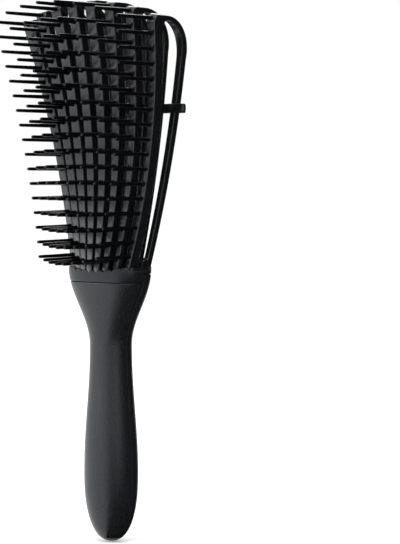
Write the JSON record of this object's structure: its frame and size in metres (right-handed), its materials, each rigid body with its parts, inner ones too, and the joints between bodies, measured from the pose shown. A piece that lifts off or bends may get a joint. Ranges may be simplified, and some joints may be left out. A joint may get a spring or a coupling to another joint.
{
  "type": "detangling hair brush",
  "caption": "Upright hair detangling brush: flexible looped claws carrying rows of rounded pins fan out of a contoured two-shell handle, tied across the back by a spacer band.",
  "frame": {"origin": "on the handle's axis, in the middle of the grip where a hand closes round it", "axes": "+Z along the handle to the tops of the claws, +Y out of the back of the brush, pins to -Y"},
  "size_m": [0.0794, 0.0539, 0.2397],
  "materials": {
    "handle": "fine grained matte",
    "panel": "smooth satin",
    "base": "satin",
    "claw": "satin",
    "pin": "gloss",
    "band": "semi-gloss",
    "screw": "plain steel"
  },
  "bodies": {
    "handle": {"handle_front_shell": "handle", "handle_back_shell": "handle", "back_panel": "panel", "handle_screws": "screw", "head_front_base": "base", "head_back_base": "base", "spacer_band": "band"},
    "claw_1": {"claw_1_strip": "claw", "claw_1_pins": "pin", "claw_1_leg": "claw"},
    "claw_2": {"claw_2_strip": "claw", "claw_2_pins": "pin", "claw_2_leg": "claw"},
    "claw_3": {"claw_3_strip": "claw", "claw_3_pins": "pin", "claw_3_leg": "claw"},
    "claw_4": {"claw_4_strip": "claw", "claw_4_pins": "pin", "claw_4_leg": "claw"},
    "claw_5": {"claw_5_strip": "claw", "claw_5_pins": "pin", "claw_5_leg": "claw"},
    "claw_6": {"claw_6_strip": "claw", "claw_6_pins": "pin", "claw_6_leg": "claw"},
    "claw_7": {"claw_7_strip": "claw", "claw_7_pins": "pin", "claw_7_leg": "claw"},
    "claw_8": {"claw_8_strip": "claw", "claw_8_pins": "pin", "claw_8_leg": "claw"}
  },
  "joints": [
    {"name": "claw_1_flex", "type": "hinge", "parent": "handle", "child": "claw_1", "pos_m": [-0.0163, 0, 0.0627], "axis": [-0.1703, 0.9848, -0.0337], "range_deg": [-0.8, 0.8], "stiffness_Nm_per_rad": 1.5},
    {"name": "claw_2_flex", "type": "hinge", "parent": "handle", "child": "claw_2", "pos_m": [-0.01164, 0, 0.0627], "axis": [-0.1231, 0.9922, -0.0173], "range_deg": [-0.8, 0.8], "stiffness_Nm_per_rad": 1.5},
    {"name": "claw_3_flex", "type": "hinge", "parent": "handle", "child": "claw_3", "pos_m": [-0.00699, 0, 0.0627], "axis": [-0.0745, 0.9972, -0.0063], "range_deg": [-0.8, 0.8], "stiffness_Nm_per_rad": 1.5},
    {"name": "claw_4_flex", "type": "hinge", "parent": "handle", "child": "claw_4", "pos_m": [-0.00233, 0, 0.0627], "axis": [-0.0249, 0.9997, -0.0007], "range_deg": [-0.8, 0.8], "stiffness_Nm_per_rad": 1.5},
    {"name": "claw_5_flex", "type": "hinge", "parent": "handle", "child": "claw_5", "pos_m": [0.00233, 0, 0.0627], "axis": [0.0249, 0.9997, -0.0007], "range_deg": [-0.8, 0.8], "stiffness_Nm_per_rad": 1.5},
    {"name": "claw_6_flex", "type": "hinge", "parent": "handle", "child": "claw_6", "pos_m": [0.00699, 0, 0.0627], "axis": [0.0745, 0.9972, -0.0063], "range_deg": [-0.8, 0.8], "stiffness_Nm_per_rad": 1.5},
    {"name": "claw_7_flex", "type": "hinge", "parent": "handle", "child": "claw_7", "pos_m": [0.01164, 0, 0.0627], "axis": [0.1231, 0.9922, -0.0173], "range_deg": [-0.8, 0.8], "stiffness_Nm_per_rad": 1.5},
    {"name": "claw_8_flex", "type": "hinge", "parent": "handle", "child": "claw_8", "pos_m": [0.0163, 0, 0.0627], "axis": [0.1703, 0.9848, -0.0337], "range_deg": [-0.8, 0.8], "stiffness_Nm_per_rad": 1.5}
  ]
}
